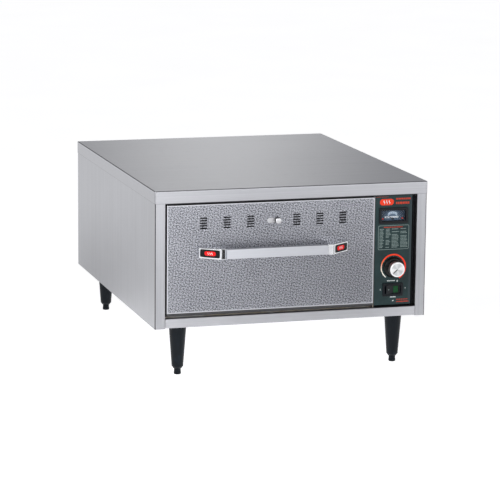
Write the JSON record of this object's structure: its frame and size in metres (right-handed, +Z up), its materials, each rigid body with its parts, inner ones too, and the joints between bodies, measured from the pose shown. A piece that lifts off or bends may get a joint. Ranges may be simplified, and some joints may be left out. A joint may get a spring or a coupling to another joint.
{
  "type": "food warming drawer cabinet",
  "caption": "Low stainless cabinet on four legs with one insulated sliding warming drawer, bar handle, vents and a side column of controls.",
  "frame": {"origin": "on the floor, at the middle of the footprint of the whole object, handle and cord gland included", "axes": "+Z up, -Y towards the front with the drawer, +X to the right as seen from the front"},
  "size_m": [0.5744, 0.76, 0.381],
  "materials": {
    "brushed_stainless": "straight-brushed stainless sheet",
    "embossed_stainless": "stainless sheet with a fine worm-grain emboss",
    "galvanised_steel": "mill-finish coated steel sheet",
    "slide_steel": "bright zinc-plated roll-formed steel",
    "mineral_wool": "pale yellow mineral-wool slab",
    "element_sheath": "heat-darkened nickel-steel sheath",
    "zinc_screw": "zinc-plated",
    "leg_black": "moulded black, soft sheen",
    "panel_green": "printed polycarbonate film, dark green",
    "instrument_black": "moulded black",
    "knob_black": "polished black moulding",
    "knob_silver": "spun and lacquered aluminium",
    "meter_glass": "clear window",
    "dial_white": "printed pale dial",
    "needle_black": "blackened pointer",
    "lamp_green": "translucent green lens",
    "shaft_steel": "turned steel",
    "copper_tube": "drawn copper",
    "terminal_cream": "cream thermoset",
    "wire_sleeve": "silicone-sleeved wire",
    "handle_bright": "satin anodised bar",
    "handle_chrome": "polished chrome plating",
    "badge_black": "black moulded badge"
  },
  "bodies": {
    "cabinet": {"top_cover": "brushed_stainless", "left_side_panel": "brushed_stainless", "right_side_panel": "brushed_stainless", "back_panel": "galvanised_steel", "base_pan": "brushed_stainless", "front_header": "brushed_stainless", "panel_bracket": "instrument_black", "back_screws": "zinc_screw", "cavity_left_wall": "galvanised_steel", "divider_wall": "galvanised_steel", "cavity_ceiling": "galvanised_steel", "cavity_back": "galvanised_steel", "cavity_floor": "galvanised_steel", "cabinet_insulation": "mineral_wool", "heating_element": "element_sheath", "element_clips": "element_sheath", "leg_plates": "galvanised_steel", "legs": "leg_black", "slide_outer_members": "slide_steel", "control_panel": "galvanised_steel", "panel_overlay": "panel_green", "meter_bezel": "instrument_black", "meter_case": "instrument_black", "meter_lens": "meter_glass", "meter_dial": "dial_white", "thermostat_body": "instrument_black", "switch_case": "instrument_black", "temperature_sensors": "copper_tube", "terminal_block": "terminal_cream", "wire_harness": "wire_sleeve", "cord_gland": "instrument_black"},
    "drawer": {"drawer_front_skin": "embossed_stainless", "drawer_front_back": "brushed_stainless", "front_insulation": "mineral_wool", "shutter_guides": "galvanised_steel", "drawer_sides": "galvanised_steel", "drawer_back": "galvanised_steel", "pan_frame": "galvanised_steel", "food_pan": "brushed_stainless", "handle_bar": "handle_bright", "handle_caps": "handle_chrome", "handle_insets": "badge_black", "handle_screws": "zinc_screw", "slide_inner_members": "slide_steel"},
    "vent_shutter": {"vent_shutter": "galvanised_steel", "vent_knob": "knob_silver"},
    "slide_middle_left": {"slide_middle_left": "slide_steel"},
    "slide_middle_right": {"slide_middle_right": "slide_steel"},
    "ball_cages_outer": {"ball_cages_outer": "slide_steel"},
    "ball_cages_inner": {"ball_cages_inner": "slide_steel"},
    "thermostat_knob": {"thermostat_shaft": "shaft_steel", "knob_skirt": "knob_black", "knob_cap": "knob_silver"},
    "power_rocker": {"switch_rocker": "instrument_black", "switch_lens": "lamp_green"},
    "thermometer_needle": {"meter_needle": "needle_black"},
    "foot_front_left": {"foot_front_left": "leg_black"},
    "foot_front_right": {"foot_front_right": "leg_black"},
    "foot_rear_left": {"foot_rear_left": "leg_black"},
    "foot_rear_right": {"foot_rear_right": "leg_black"}
  },
  "joints": [
    {"name": "drawer_slide", "type": "slide", "parent": "cabinet", "child": "drawer", "axis": [0, -1, 0], "range_m": [0, 0.48]},
    {"name": "slide_middle_left_run", "type": "slide", "parent": "cabinet", "child": "slide_middle_left", "axis": [0, -1, 0], "range_m": [0, 0.24]},
    {"name": "slide_middle_right_run", "type": "slide", "parent": "cabinet", "child": "slide_middle_right", "axis": [0, -1, 0], "range_m": [0, 0.24]},
    {"name": "ball_cages_outer_run", "type": "slide", "parent": "cabinet", "child": "ball_cages_outer", "axis": [0, -1, 0], "range_m": [0, 0.12]},
    {"name": "ball_cages_inner_run", "type": "slide", "parent": "cabinet", "child": "ball_cages_inner", "axis": [0, -1, 0], "range_m": [0, 0.36]},
    {"name": "vent_shutter_slide", "type": "slide", "parent": "drawer", "child": "vent_shutter", "axis": [1, 0, 0], "range_m": [-0.016, 0]},
    {"name": "thermostat_turn", "type": "hinge", "parent": "cabinet", "child": "thermostat_knob", "pos_m": [0.2174, -0.338, 0.2046], "axis": [0, 1, 0], "range_deg": [0, 270]},
    {"name": "power_rocker_tip", "type": "hinge", "parent": "cabinet", "child": "power_rocker", "pos_m": [0.217, -0.331, 0.1582], "axis": [0, 0, 1], "range_deg": [-18, 0]},
    {"name": "thermometer_needle_turn", "type": "hinge", "parent": "cabinet", "child": "thermometer_needle", "pos_m": [0.2156, -0.3315, 0.3045], "axis": [0, 1, 0], "range_deg": [0, 120]},
    {"name": "foot_front_left_screw", "type": "slide", "parent": "cabinet", "child": "foot_front_left", "axis": [0, 0, -1], "range_m": [0, 0.02]},
    {"name": "foot_front_right_screw", "type": "slide", "parent": "cabinet", "child": "foot_front_right", "axis": [0, 0, -1], "range_m": [0, 0.02]},
    {"name": "foot_rear_left_screw", "type": "slide", "parent": "cabinet", "child": "foot_rear_left", "axis": [0, 0, -1], "range_m": [0, 0.02]},
    {"name": "foot_rear_right_screw", "type": "slide", "parent": "cabinet", "child": "foot_rear_right", "axis": [0, 0, -1], "range_m": [0, 0.02]}
  ],
  "couplings": [
    {"joint": "slide_middle_left_run", "follows": "drawer_slide", "ratio": 0.5},
    {"joint": "slide_middle_right_run", "follows": "drawer_slide", "ratio": 0.5},
    {"joint": "ball_cages_outer_run", "follows": "drawer_slide", "ratio": 0.25},
    {"joint": "ball_cages_inner_run", "follows": "drawer_slide", "ratio": 0.75}
  ]
}
